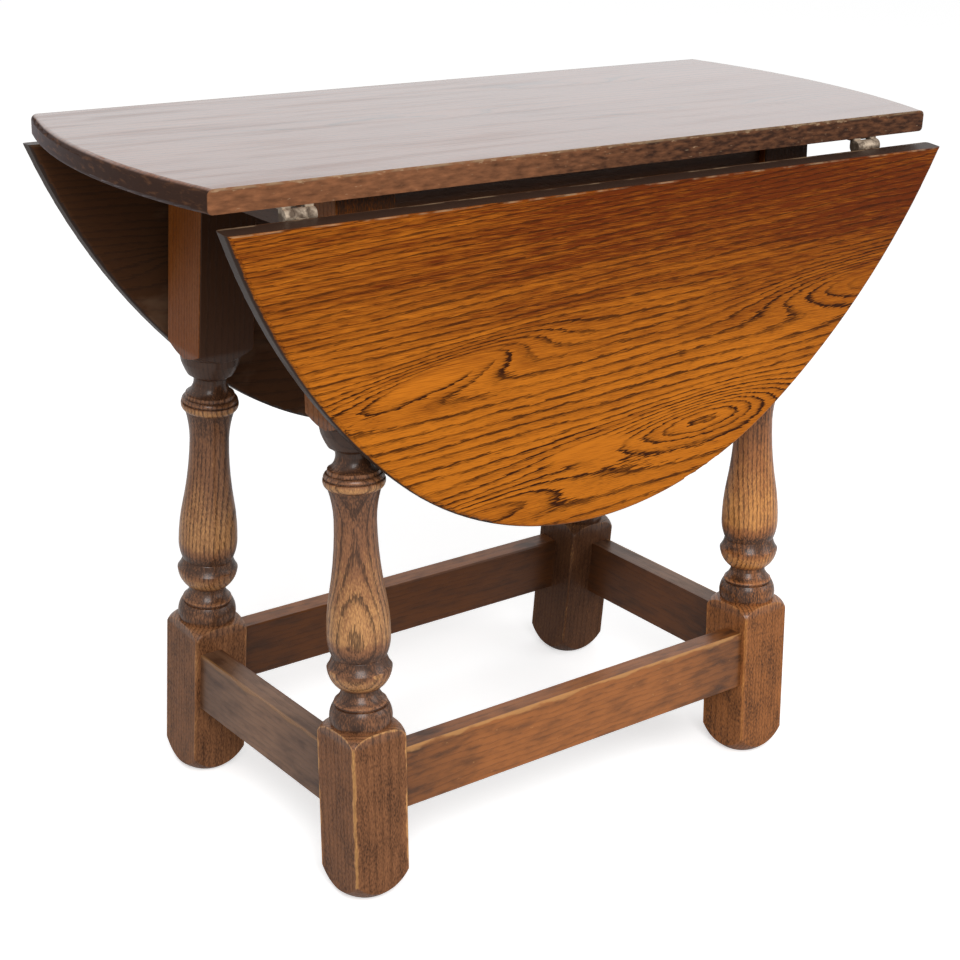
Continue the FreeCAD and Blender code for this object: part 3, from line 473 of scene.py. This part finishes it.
# Chips on the long edges, most of them close under the upper arris, which is rubbed as well
SCRATCH_PITCH = (0.005, 0.02, 0.0012)
CHIP_LIMITS = (0.17, 0.27)
CHIP_DEPTH_LIMITS = (0.0040, 0.0002)
CHIP_NEAR_ARRIS = 0.16
RUB_LIMITS = (-0.15, 0.15)
RUB_DEPTH_LIMITS = (0.0022, 0.0006)
LONG_EDGE_WEAR = 0.5
END_RUB_LIMITS = (0.0, 0.3)
# Polish: smears in it, more of them to the left, and what is left of it on the edges
SMEAR_PITCH = (0.16, 0.012, 0.012)
SMEAR_LIMITS = (-0.05, 0.2)
SMEAR_MIDDLE = 0.22
SMEAR_SLOPE = -0.5
TOP_SIDE_COAT = 0.04
TOP_ROUGHNESS = 0.32
TOP_SIDE_ROUGHER = 0.45
STREAK_PITCH = (0.25, 0.006, 0.006)
TOP_LINE_HEIGHT = -0.3
TOP_RELIEF = 0.00005


def long_edge_oak(shader, places, soil):
    """Brown wood of a long edge, darker to the right, worn to bare wood along the upper arris."""
    u, v, under = places
    # the long edge is darker towards the right
    right = shader.times(shader.step(u, EDGE_RIGHT_DARKER_LIMITS), EDGE_RIGHT_DARKER)
    edge_darkening = shader.math("ADD", shader.scaled(soil, SOIL_STRENGTH, right), SOIL_START, clamp=True)
    scratches = shader.noise(shader.join(u, v, under), SCRATCH_PITCH, detail=4.0)
    near_arris = shader.step(under, CHIP_DEPTH_LIMITS)
    chips = shader.step(shader.scaled(near_arris, CHIP_NEAR_ARRIS, scratches), CHIP_LIMITS)
    rubbed = shader.times(shader.step(under, RUB_DEPTH_LIMITS), shader.step(soil, RUB_LIMITS))
    worn = shader.times(shader.math("MAXIMUM", chips, rubbed), LONG_EDGE_WEAR)
    return shader.mix(worn, shader.mix(edge_darkening, EDGE_BROWN, EDGE_DARK), CHIP)


def top_oak():
    """Polished board: a high gloss above, worn and chipped long edges, dark rounded ends."""
    grain = -Vector(joint_named("leaf_front_hinge")["axis"])
    piece = Piece("top_panel", grain, Z_AXIS)
    shader = Shader("top_oak", piece)
    u, v, out = shader.coordinates((piece.middle[0], piece.middle[1], piece.high[2]))
    under = shader.negative(out)
    point = shader.join(u, v, under)
    half = piece.size[1] / 2
    _, lines = board_grain(shader, (u, shader.math("ADD", v, half), under), TOP_EYES, TOP_TILT)
    patches = shader.math("ADD", shader.noise(point, TOP_PATCH_PITCH), NOISE_MIDDLE)
    face = shader.mix(shader.times(lines, TOP_LINES), shader.mix(patches, TOP_BROWN, TOP_DEEP), TOP_LINE)
    soil = shader.noise(point, SOIL_PITCH, detail=5.0)
    edge = shader.step(shader.math("SUBTRACT", half, shader.math("ABSOLUTE", v)), TOP_SIDE_LIMITS)
    inside = shader.step(shader.math("SUBTRACT", piece.size[2], under), TOP_SIDE_LIMITS)
    end = shader.step(under, TOP_END_LIMITS)
    end_band = shader.mix(shader.step(soil, END_RUB_LIMITS), END_DARK, END_BROWN)
    colour = shader.mix(edge, shader.mix(end, face, end_band), long_edge_oak(shader, (u, v, under), soil))
    colour = shader.mix(shader.times(inside, shader.inverse(edge)), colour, INSIDE)
    # the polish is smeared, more so to the left
    smears = shader.step(shader.noise(point, SMEAR_PITCH, detail=4.0), SMEAR_LIMITS)
    dull = shader.times(smears, shader.scaled(u, SMEAR_SLOPE, SMEAR_MIDDLE))
    side = shader.math("MAXIMUM", edge, end)
    coat = shader.times(shader.inverse(dull), shader.scaled(side, TOP_SIDE_COAT - 1.0, 1.0))
    shader.surface(
        Base_Color=colour,
        Roughness=shader.scaled(side, TOP_SIDE_ROUGHER, TOP_ROUGHNESS),
        Specular_IOR_Level=0.12,
        Coat_Weight=coat,
        Coat_Roughness=0.16,
        Coat_IOR=1.75,
        Sheen_Weight=0.18,
        Sheen_Roughness=0.3,
        Sheen_Tint=(0.95, 0.90, 1.0))
    streaks = shader.noise(point, STREAK_PITCH, detail=3.0)
    shader.relief(shader.scaled(lines, TOP_LINE_HEIGHT, streaks), TOP_RELIEF)
    dress(piece.node, shader.material)


# Legs

# Form of a leg: half of its square section, the rolled shoulder of its lower block, and its turned stretch
LEG_HALF = 0.0226
SHOULDER_HEIGHT = 0.1182
SHOULDER_START = 0.0210
SHOULDER_ROUND = 0.0106
TURNING_BOTTOM = 0.124
TURNING_LENGTH = 0.2288
FEET = {mount["name"]: Vector(mount["pos_m"]) for mount in frame["record"]["mounts"]}
# What differs from leg to leg: the middle of the tree that it was cut from, across and out from the leg's
# own middle, its bare wood where it is rubbed, its dark polish where that is whole, and how far its
# arrises are rubbed
LEGS = {
    ("front", "left"): ((-0.041, -0.0515), (0.60, 0.30, 0.110), (0.25, 0.103, 0.044), 0.65),
    ("front", "right"): ((-0.051, 0.041), (0.72, 0.32, 0.090), (0.36, 0.132, 0.042), 0.25),
    ("back", "left"): ((-0.050, 0.041), (0.55, 0.27, 0.100), (0.24, 0.100, 0.042), 0.25),
    ("back", "right"): ((0.030, -0.065), (0.60, 0.29, 0.100), (0.12, 0.050, 0.023), 0.15),
}
# Growth rings of a leg: their width, where the first one starts as a share of it, their waves, the length
# of a stroke, and the strength of their lines on the blocks and how much more they have on the turning
LEG_RING = 0.0031
LEG_RING_START_SHARE = 0.20
LEG_WAVES = [(0.16, 0.03, 0.7), (0.03, 0.007, 0.22)]
LEG_STROKE = 0.009
LEG_LINES = 0.38
LEG_LINES_TURNED = 0.4
# Wear of a leg over its turned stretch: place as a share of it, and how far the dark polish is rubbed
# through
WEAR_SHARES = [
    (0.0, 0.30), (0.019, 0.46), (0.03, 0.14), (0.06, 0.16), (0.086, 0.10), (0.092, 0.04), (0.0955, 0.62),
    (0.103, 0.16), (0.14, 0.14), (0.16, 0.74), (0.19, 0.66), (0.207, 0.30), (0.222, 0.10), (0.262, 0.10),
    (0.315, 0.70), (0.38, 0.76), (0.46, 0.60), (0.58, 0.38), (0.73, 0.24), (0.768, 0.12), (0.779, 0.84),
    (0.796, 0.66), (0.801, 0.04), (0.807, 0.50), (0.8175, 0.08), (0.824, 0.42), (0.833, 0.06), (0.90, 0.12),
    (1.0, 0.36),
]
LEG_MOTTLE_PITCH = (0.03, 0.010, 0.010)
LEG_SPECK_PITCH = (0.0028, 0.0009, 0.0009)
LEG_ROUGH_WEAR = {"mottle": 0.6, "specks": 0.8}
# Wear that turns dark polish brown, and wear that bares the wood
BROWN_LIMITS = (0.0, 0.45)
BARE_LIMITS = (0.4, 1.0)
# Rubbed arrises: distance in from a corner and down from the shoulder, and how far nicks break into each
NICK_PITCH = (0.012, 0.004, 0.004)
CORNER_LIMITS = (0.0024, 0.0008)
CORNER_NICKS = 0.006
SHOULDER_LIMITS = (0.0018, 0.0006)
SHOULDER_NICKS = 0.004
SHOULDER_WEAR = 0.6
BLOCK_FACE_LIMITS = (0.0005, 0.0002)
# Shares of the turned stretch where the turning starts and ends and where the upper block takes over, and
# the depth in from the block's outer end past which its faces get painted shade from the leaves
TURNING_START_SHARES = (-0.02, 0.0)
TURNING_END_SHARES = (1.0, 0.98)
UPPER_SHARES = (0.84, 0.96)
UPPER_SHADE_LIMITS = (0.0002, 0.0006)
UPPER_PAINTED_SHADE = -0.65
UPPER_BARE = 0.2
# Polish
LEG_ROUGHNESS = 0.36
LEG_LINES_ROUGHER = 0.15
LEG_COAT = 0.04
LEG_COAT_TURNED = 0.4
LEG_DENT_PITCH = (0.006, 0.003, 0.003)
# Relief of legs and rails
FRAME_LINE_HEIGHT = -0.5
FRAME_RELIEF = 0.00012


def leg_arrises(shader, point, h, sides):
    """Rubbed lines on the arrises of the blocks, and where the lower one's faces meet its shoulder."""
    nicks = shader.noise(point, NICK_PITCH, detail=4.0)
    from_corner = shader.math("SUBTRACT", 2 * LEG_HALF, shader.total(*sides))
    corners = shader.step(shader.scaled(nicks, CORNER_NICKS, from_corner), CORNER_LIMITS)
    from_face = shader.math("SUBTRACT", LEG_HALF, shader.math("MAXIMUM", *sides))
    past = shader.math("SUBTRACT", shader.math("SQRT", shader.squares(*sides)), SHOULDER_START)
    roll = shader.math("SQRT", shader.math("SUBTRACT", SHOULDER_ROUND ** 2, shader.squares(past)))
    below = shader.math("SUBTRACT", shader.math("ADD", roll, SHOULDER_HEIGHT), h)
    shoulder = shader.step(shader.scaled(nicks, SHOULDER_NICKS, below), SHOULDER_LIMITS)
    on_face = shader.step(from_face, BLOCK_FACE_LIMITS)
    return shader.math("MAXIMUM", corners, shader.times(shoulder, on_face, SHOULDER_WEAR))


def leg_oak(side, end):
    """Dark waxed oak: rings of the tree cut into lines and ovals by the turning, gold where hands rub."""
    tree, gold, polish, arris_wear = LEGS[side, end]
    piece = Piece(f"leg_{side}_{end}", *splayed_axes(SIDES[side]))
    shader = Shader(f"leg_oak_{side}_{end}", piece)
    foot = FEET[f"foot_{side}_{end}"]
    h, across, out = shader.coordinates([foot.dot(axis) for axis in piece.axes])
    point = shader.join(h, across, out)
    ways = [shader.math("SUBTRACT", way, middle) for way, middle in zip((across, out), tree)]
    from_tree = shader.math("SQRT", shader.squares(*ways))
    field = shader.math("SUBTRACT", shader.math("DIVIDE", from_tree, LEG_RING), LEG_RING_START_SHARE)
    field = wander(shader, point, field, LEG_WAVES)
    lines = oak_grain(shader, (h, across, out), field, LEG_STROKE)
    share = shader.math("DIVIDE", shader.math("SUBTRACT", h, TURNING_BOTTOM), TURNING_LENGTH)
    rough = shader.weighted(
        LEG_ROUGH_WEAR,
        mottle=shader.noise(point, LEG_MOTTLE_PITCH, detail=5.0),
        specks=shader.noise(point, LEG_SPECK_PITCH, detail=1.0))
    wear = shader.math("ADD", rough, shader.curve(share, WEAR_SHARES))
    # the upper blocks are amber at the ends of the table; their faces behind the leaves get painted shade,
    # dark as the old polish
    sides = [shader.math("ABSOLUTE", way) for way in (across, out)]
    upper = shader.step(share, UPPER_SHARES)
    painted_shade = shader.step(shader.math("SUBTRACT", LEG_HALF, sides[0]), UPPER_SHADE_LIMITS)
    # painted shade: lowering the wear there gives those faces the dark polish colour
    wear = shader.scaled(shader.times(upper, painted_shade), UPPER_PAINTED_SHADE, wear)
    wear = shader.scaled(leg_arrises(shader, point, h, sides), arris_wear, wear, clamp=True)
    brown = shader.mix(shader.step(wear, BROWN_LIMITS), FRAME_DARK, shader.mix(upper, polish, UPPER_BROWN))
    bare = shader.times(shader.step(wear, BARE_LIMITS), shader.scaled(upper, UPPER_BARE - 1.0, 1.0))
    turned = shader.times(shader.step(share, TURNING_START_SHARES), shader.step(share, TURNING_END_SHARES))
    marks = shader.times(lines, shader.scaled(turned, LEG_LINES_TURNED, LEG_LINES))
    shader.surface(
        Base_Color=shader.mix(marks, shader.mix(bare, brown, gold), FRAME_LINE),
        Roughness=shader.scaled(lines, LEG_LINES_ROUGHER, LEG_ROUGHNESS),
        Specular_IOR_Level=0.1,
        Coat_Weight=shader.scaled(turned, LEG_COAT_TURNED, LEG_COAT),
        Coat_Roughness=0.24)
    dents = shader.noise(point, LEG_DENT_PITCH, detail=3.0)
    shader.relief(shader.scaled(lines, FRAME_LINE_HEIGHT, dents), FRAME_RELIEF)
    dress(piece.node, shader.material)


# Rails and stretchers

# Growth rings of a rail: their width, their tilt into the wood, their waves, the length of a stroke, and
# the strength of their lines
RAIL_RING = 0.0046
RAIL_RING_TILT = 0.7
RAIL_WAVES = [(0.15, 0.03, 2.4), (0.03, 0.008, 0.6)]
RAIL_STROKE = 0.012
RAIL_LINES = 0.3
# Depths where the show face ends, and where the inner face starts
RAIL_SHOW_LIMITS = (0.0022, 0.0010)
RAIL_INNER_LIMITS = (0.002, 0.0005)
# Dirt in patches, and darker in from the ends, by the legs
RAIL_MOTTLE_PITCH = (0.025, 0.008, 0.008)
RAIL_DIRT_LIMITS = (-0.1, 0.22)
RAIL_END_LIMITS = (0.11, 0.03)
RAIL_DARKENING = {"patches": 0.5, "by_leg": 0.5}
# Wear: how far it reaches down from the upper arris, how far the mottling shifts that, and its specks
RAIL_WEAR_LIMITS = (0.0030, 0.0006)
RAIL_WEAR_WAVE = -0.012
RAIL_SPECK_PITCH = (0.006, 0.004, 0.004)
RAIL_SPECK_LIMITS = (0.2, 0.27)
RAIL_SPECKS = 0.5
# Polish
RAIL_ROUGHNESS = 0.42
RAIL_MOTTLE_ROUGHER = 0.2
RAIL_DENT_PITCH = (0.008, 0.003, 0.003)
# How far the arrises of the rails are rubbed
LONG_STRETCHER_WEAR = 0.65
END_STRETCHER_WEAR = 0.3
UPPER_RAIL_WEAR = 0.1
HIDDEN_RAIL_WEAR = 0.0


def rail_oak(node, up, face, show, inner, wear):
    """Waxed oak of a rail: its show face, another colour inside, and rubbed along the upper outer arris."""
    piece = Piece(node, up.cross(face), face)
    shader = Shader("oak_" + node, piece)
    u, rise, out = shader.coordinates((piece.middle[0], piece.high[1], piece.high[2]))
    down = shader.negative(rise)
    under = shader.negative(out)
    point = shader.join(u, down, under)
    field = shader.math("DIVIDE", shader.scaled(under, RAIL_RING_TILT, down), RAIL_RING)
    lines = oak_grain(shader, (u, down, under), wander(shader, point, field, RAIL_WAVES), RAIL_STROKE)
    mottle = shader.noise(point, RAIL_MOTTLE_PITCH, detail=5.0)
    from_end = shader.math("SUBTRACT", piece.size[0] / 2, shader.math("ABSOLUTE", u))
    # darker in dirt patches, and in from the ends by the legs
    darkening = shader.weighted(
        RAIL_DARKENING,
        patches=shader.step(mottle, RAIL_DIRT_LIMITS),
        by_leg=shader.step(from_end, RAIL_END_LIMITS))
    hidden = shader.step(shader.math("SUBTRACT", piece.size[2], under), RAIL_INNER_LIMITS)
    wood = shader.mix(darkening, shader.mix(hidden, show, inner), FRAME_DARK)
    # the wear is on the show face, close under its upper arris
    shown = shader.step(under, RAIL_SHOW_LIMITS)
    worn = shader.step(shader.scaled(mottle, RAIL_WEAR_WAVE, down), RAIL_WEAR_LIMITS)
    specks = shader.step(shader.noise(point, RAIL_SPECK_PITCH), RAIL_SPECK_LIMITS)
    gold = shader.times(shader.math("MAXIMUM", worn, shader.times(specks, RAIL_SPECKS)), shown, wear)
    marked = shader.mix(shader.times(lines, RAIL_LINES), wood, FRAME_LINE)
    shader.surface(
        Base_Color=shader.mix(gold, marked, FRAME_GOLD),
        Roughness=shader.scaled(mottle, RAIL_MOTTLE_ROUGHER, RAIL_ROUGHNESS),
        Specular_IOR_Level=0.15,
        Coat_Weight=0.3,
        Coat_Roughness=0.28)
    dents = shader.noise(point, RAIL_DENT_PITCH, detail=3.0)
    shader.relief(shader.scaled(lines, FRAME_LINE_HEIGHT, dents), FRAME_RELIEF)
    dress(piece.node, shader.material)


def frame_oak():
    """Stretchers, aprons, end rails, pivot rail and cleat."""
    for side, way in SIDES.items():
        up, face = splayed_axes(way)
        rail_oak(f"stretcher_{side}", up, face, RAIL_RUSSET, RAIL_INNER, LONG_STRETCHER_WEAR)
        rail_oak(f"apron_{side}", up, face, RAIL_DARK, RAIL_DARK, UPPER_RAIL_WEAR)
    for end, way in ENDS.items():
        rail_oak(f"stretcher_{end}", Z_AXIS, X_AXIS * way, RAIL_DULL, RAIL_INNER, END_STRETCHER_WEAR)
        rail_oak(f"end_rail_{end}", Z_AXIS, X_AXIS * way, RAIL_DARK, RAIL_DARK, UPPER_RAIL_WEAR)
    rail_oak("pivot_rail", Z_AXIS, X_AXIS, RAIL_DARK, RAIL_DARK, HIDDEN_RAIL_WEAR)
    rail_oak("pivot_cleat", Z_AXIS, Y_AXIS, RAIL_DARK, RAIL_DARK, HIDDEN_RAIL_WEAR)


# Metal

METAL_RUB_PITCH = (0.006, 0.006, 0.006)
METAL_RUB_LIMITS = (-0.1, 0.12)
METAL_RUB_ROUGHER = -0.1
HINGE_BRIGHT = (0.44, 0.35, 0.26)
HINGE_TARNISH = (0.11, 0.075, 0.050)
HINGE_ROUGHNESS = 0.62
FASTENER_BRIGHT = (0.42, 0.38, 0.33)
FASTENER_TARNISH = (0.12, 0.095, 0.075)
FASTENER_ROUGHNESS = 0.66
PIVOT_FASTENERS = ("pivot_bolt", "pivot_nut", "pivot_washer")


def worn_metal(name, bright, tarnish, roughness):
    """Old plated steel, dull with age and brighter where it rubs."""
    shader = Shader(name)
    point = shader.add("TexCoord").outputs["Object"]
    rub = shader.step(shader.noise(point, METAL_RUB_PITCH, detail=4.0), METAL_RUB_LIMITS)
    shader.surface(
        Base_Color=shader.mix(rub, tarnish, bright),
        Roughness=shader.scaled(rub, METAL_RUB_ROUGHER, roughness),
        Metallic=0.6)
    return shader.material


def metals():
    """Hinges, screws and the pivot's bolt."""
    hinge = worn_metal("hinge_metal", HINGE_BRIGHT, HINGE_TARNISH, HINGE_ROUGHNESS)
    fastener = worn_metal("fastener_metal", FASTENER_BRIGHT, FASTENER_TARNISH, FASTENER_ROUGHNESS)
    for node in frame["nodes"]:
        if "screws" in node or node in PIVOT_FASTENERS:
            dress(node, fastener)
        elif "hinge" in node:
            dress(node, hinge)


for side in SIDES:
    leaf_oak(side)
    for end in ENDS:
        leg_oak(side, end)
top_oak()
frame_oak()
metals()


# Stage

# Camera of the photograph: place and view axes in the table's frame, and lens and square sensor in
# millimetres
CAMERA_PLACE = Vector((-0.8634, -1.0792, 0.7670))
CAMERA_RIGHT = Vector((0.7897, -0.6126, 0.0318))
CAMERA_UP = Vector((0.2039, 0.3110, 0.9283))
CAMERA_BACK = Vector((-0.5786, -0.7266, 0.3705))
CAMERA_LENS = 72.48
CAMERA_SENSOR = 36.0
CAMERA_SHIFT_Y = 0.0242
CAMERA_REACH = 50.0
# Floor, and strength of the white world where it is seen and as light
FLOOR_SIZE = 30.0
FLOOR_WHITE = (0.97, 0.97, 0.97)
FLOOR_BOUNCE = (0.55, 0.55, 0.55)
FLOOR_GLOW = 0.5
WORLD_WHITE = (1.0, 1.0, 1.0, 1.0)
WORLD_SEEN = 1.0
WORLD_LIGHT = 0.5
# Soft lamps: place and power in watts
LAMPS = {
    "key": (Vector((-1.3, -2.0, 2.0)), 55.0),
    "fill": (Vector((1.6, -1.8, 1.3)), 14.0),
}
LAMP_SIZE = 1.4
LAMP_TARGET = Vector((0.0, 0.0, 0.25))


def add_camera():
    """Camera that stands as the photograph's did."""
    camera = bpy.data.cameras.new("camera")
    camera.lens = CAMERA_LENS
    camera.sensor_width = CAMERA_SENSOR
    camera.shift_y = CAMERA_SHIFT_Y
    camera.clip_end = CAMERA_REACH
    holder = bpy.data.objects.new("camera", camera)
    bpy.context.scene.collection.objects.link(holder)
    turn = Matrix((CAMERA_RIGHT, CAMERA_UP, CAMERA_BACK)).transposed().to_4x4()
    holder.matrix_world = Matrix.Translation(CAMERA_PLACE) @ turn
    bpy.context.scene.camera = holder


def seen_directly(tree):
    """1 for rays that show the background itself: from the camera, in gloss or through glass."""
    path = tree.nodes.new("ShaderNodeLightPath")
    result = path.outputs["Is Camera Ray"]
    for name in ("Is Glossy Ray", "Is Transmission Ray"):
        either = tree.nodes.new("ShaderNodeMath")
        either.operation = "MAXIMUM"
        tree.links.new(result, either.inputs[0])
        tree.links.new(path.outputs[name], either.inputs[1])
        result = either.outputs[0]
    return result


def add_floor():
    """White floor for the camera, with the table's soft shadow; it bounces a duller light on to the table."""
    bpy.ops.mesh.primitive_plane_add(size=FLOOR_SIZE)
    floor = bpy.context.object
    floor.name = "floor"
    shader = Shader("floor_white")
    camera_ray = shader.add("LightPath").outputs["Is Camera Ray"]
    shader.surface(
        Base_Color=shader.mix(seen_directly(shader.tree), FLOOR_BOUNCE, FLOOR_WHITE),
        Roughness=1.0,
        Specular_IOR_Level=0.0,
        Emission_Color=FLOOR_WHITE,
        Emission_Strength=shader.times(camera_ray, FLOOR_GLOW))
    floor.data.materials.append(shader.material)


def add_world():
    """White all round for the camera and in gloss, softer as light."""
    world = bpy.data.worlds.new("studio")
    bpy.context.scene.world = world
    world.use_nodes = True
    tree = world.node_tree
    level = tree.nodes.new("ShaderNodeMapRange")
    level.inputs["To Min"].default_value = WORLD_LIGHT
    level.inputs["To Max"].default_value = WORLD_SEEN
    tree.links.new(seen_directly(tree), level.inputs["Value"])
    background = tree.nodes["Background"]
    background.inputs["Color"].default_value = WORLD_WHITE
    tree.links.new(level.outputs[0], background.inputs["Strength"])


def add_lamp(name, place, power):
    """Soft square lamp aimed at the table."""
    lamp = bpy.data.lights.new(name, "AREA")
    lamp.size = LAMP_SIZE
    lamp.energy = power
    holder = bpy.data.objects.new(name, lamp)
    holder.location = place
    holder.rotation_euler = (LAMP_TARGET - place).to_track_quat("-Z", "Y").to_euler()
    bpy.context.scene.collection.objects.link(holder)


add_camera()
add_floor()
add_world()
for name, (place, power) in LAMPS.items():
    add_lamp(name, place, power)
bpy.context.scene.view_settings.view_transform = "Standard"
